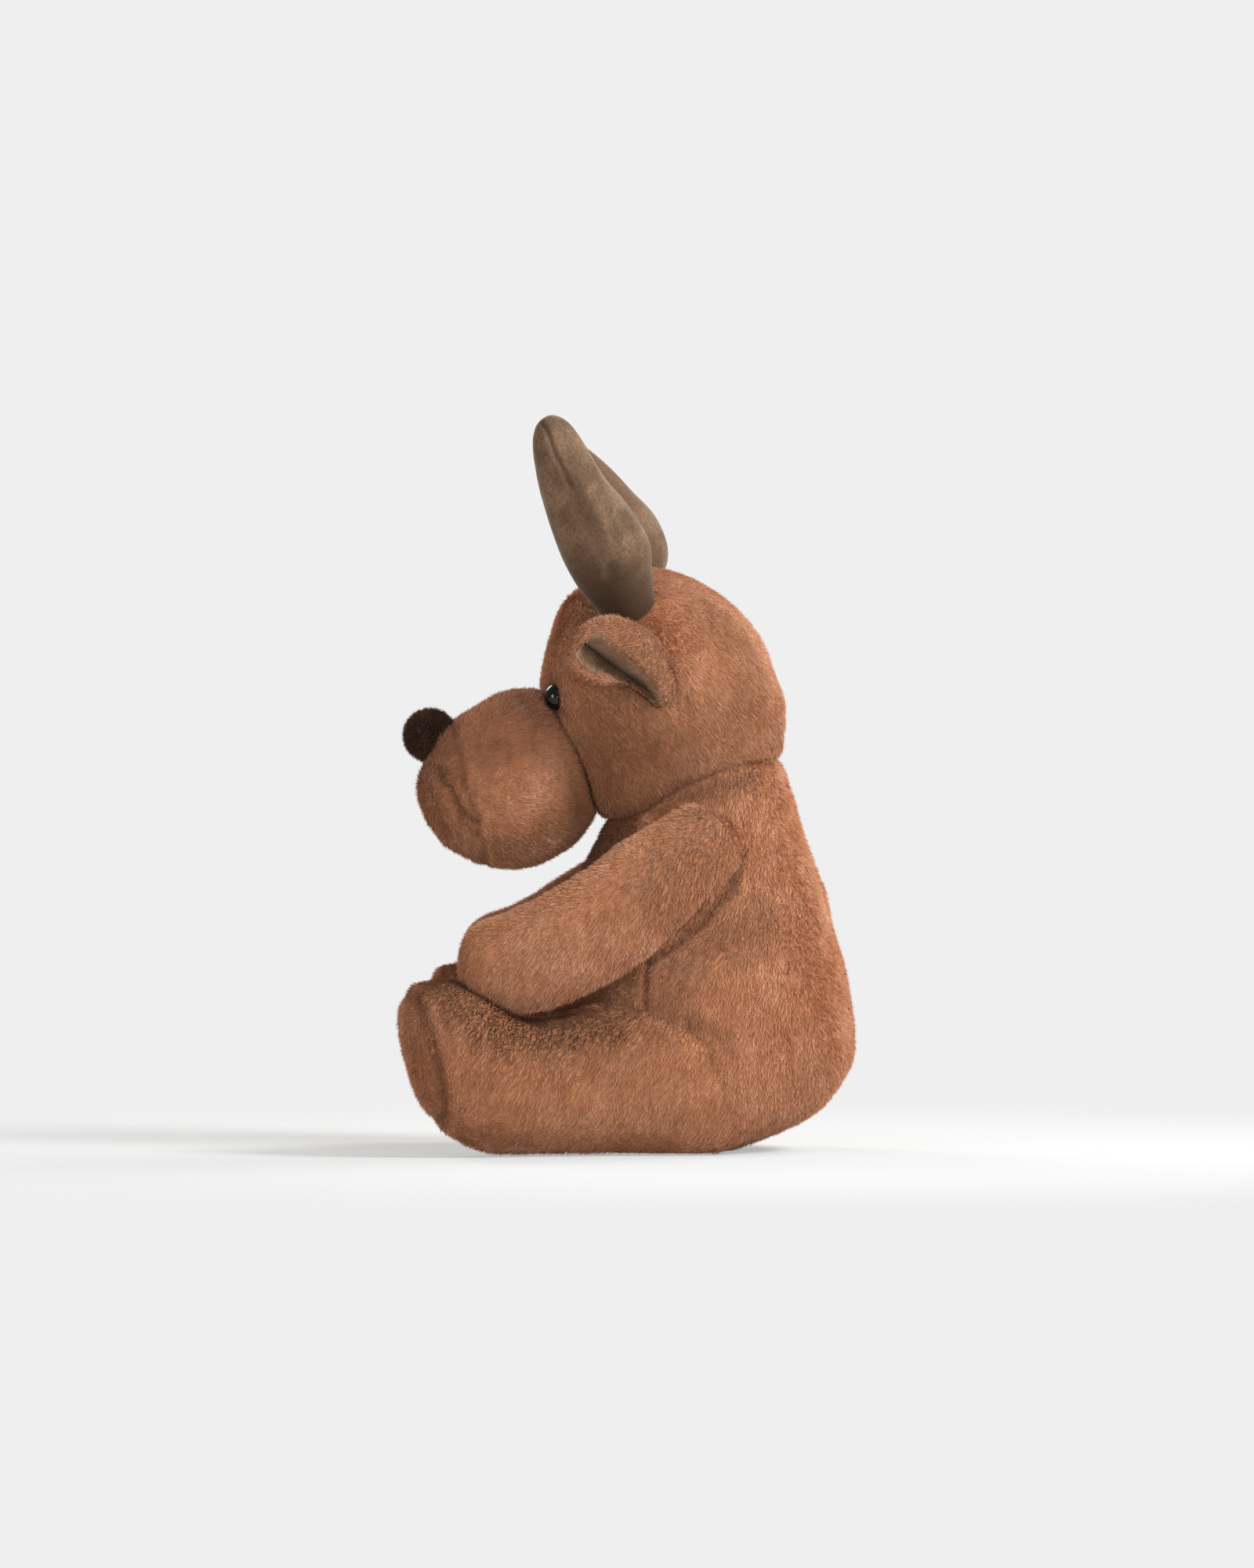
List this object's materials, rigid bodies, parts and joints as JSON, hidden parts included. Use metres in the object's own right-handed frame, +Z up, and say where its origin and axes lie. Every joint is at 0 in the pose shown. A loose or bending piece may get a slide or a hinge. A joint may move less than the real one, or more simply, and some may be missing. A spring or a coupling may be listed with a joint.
{
  "type": "plush deer",
  "caption": "Seated plush deer with a turning head, soft antlers and ears, and arms and legs that flex at sewn seams",
  "frame": {"origin": "on the floor, under the middle of the whole toy's bounding box", "axes": "+Z up, the deer faces -Y and its left side is +X"},
  "size_m": [0.1822, 0.1986, 0.319],
  "materials": {
    "pile_fabric": "short dense pile fabric, warm brown",
    "velour": "short smooth velour, grey brown",
    "filling": "loose polyester fibre",
    "nose_pile": "dense pompom of dark brown yarn",
    "eye_plastic": "polished black plastic",
    "washer_plastic": "plain natural plastic"
  },
  "bodies": {
    "torso": {"torso_cover": "pile_fabric", "torso_filling": "filling"},
    "neck": {"neck_filling": "filling"},
    "head": {"head_cover": "pile_fabric", "head_filling": "filling", "muzzle_cover": "pile_fabric", "muzzle_front": "pile_fabric", "muzzle_filling": "filling", "nose": "nose_pile", "left_eye": "eye_plastic", "right_eye": "eye_plastic", "left_eye_washer": "washer_plastic", "right_eye_washer": "washer_plastic"},
    "left_ear": {"left_ear_cover": "pile_fabric", "left_ear_lining": "velour"},
    "left_antler": {"left_antler_cover": "velour", "left_antler_filling": "filling"},
    "left_arm": {"left_arm_cover": "pile_fabric", "left_arm_filling": "filling"},
    "left_leg": {"left_leg_cover": "pile_fabric", "left_sole": "pile_fabric", "left_leg_filling": "filling"},
    "right_ear": {"right_ear_cover": "pile_fabric", "right_ear_lining": "velour"},
    "right_antler": {"right_antler_cover": "velour", "right_antler_filling": "filling"},
    "right_arm": {"right_arm_cover": "pile_fabric", "right_arm_filling": "filling"},
    "right_leg": {"right_leg_cover": "pile_fabric", "right_sole": "pile_fabric", "right_leg_filling": "filling"}
  },
  "joints": [
    {"name": "neck_turn", "type": "hinge", "parent": "torso", "child": "neck", "pos_m": [0, 0.02881, 0.1585], "axis": [0, -0.342, 0.9397], "range_deg": [-20, 20], "stiffness_Nm_per_rad": 0.5},
    {"name": "head_nod", "type": "hinge", "parent": "neck", "child": "head", "pos_m": [0, 0.02881, 0.1585], "axis": [1, 0, 0], "range_deg": [-5, 5], "stiffness_Nm_per_rad": 0.9},
    {"name": "left_ear_flap", "type": "hinge", "parent": "head", "child": "left_ear", "pos_m": [0.05211, 0.01581, 0.2045], "axis": [0, 0, 1], "range_deg": [-15, 15], "stiffness_Nm_per_rad": 0.01},
    {"name": "left_antler_sway", "type": "hinge", "parent": "head", "child": "left_antler", "pos_m": [0.0378, 0.00006, 0.2384], "axis": [1, 0, 0], "range_deg": [-8, 8], "stiffness_Nm_per_rad": 0.08},
    {"name": "left_shoulder_spread", "type": "hinge", "parent": "torso", "child": "left_arm", "pos_m": [0.04139, 0.05081, 0.139], "axis": [0, -0.2961, 0.9552], "range_deg": [0, 40], "stiffness_Nm_per_rad": 0.06},
    {"name": "left_hip_spread", "type": "hinge", "parent": "torso", "child": "left_leg", "pos_m": [0.061, 0.04581, 0.0285], "axis": [0, 0, 1], "range_deg": [0, 12], "stiffness_Nm_per_rad": 0.3},
    {"name": "right_ear_flap", "type": "hinge", "parent": "head", "child": "right_ear", "pos_m": [-0.05211, 0.01581, 0.2045], "axis": [0, 0, -1], "range_deg": [-15, 15], "stiffness_Nm_per_rad": 0.01},
    {"name": "right_antler_sway", "type": "hinge", "parent": "head", "child": "right_antler", "pos_m": [-0.0378, 0.00006, 0.2384], "axis": [1, 0, 0], "range_deg": [-8, 8], "stiffness_Nm_per_rad": 0.08},
    {"name": "right_shoulder_spread", "type": "hinge", "parent": "torso", "child": "right_arm", "pos_m": [-0.04139, 0.05081, 0.139], "axis": [0, 0.2961, -0.9552], "range_deg": [0, 40], "stiffness_Nm_per_rad": 0.06},
    {"name": "right_hip_spread", "type": "hinge", "parent": "torso", "child": "right_leg", "pos_m": [-0.061, 0.04581, 0.0285], "axis": [0, 0, -1], "range_deg": [0, 12], "stiffness_Nm_per_rad": 0.3}
  ]
}
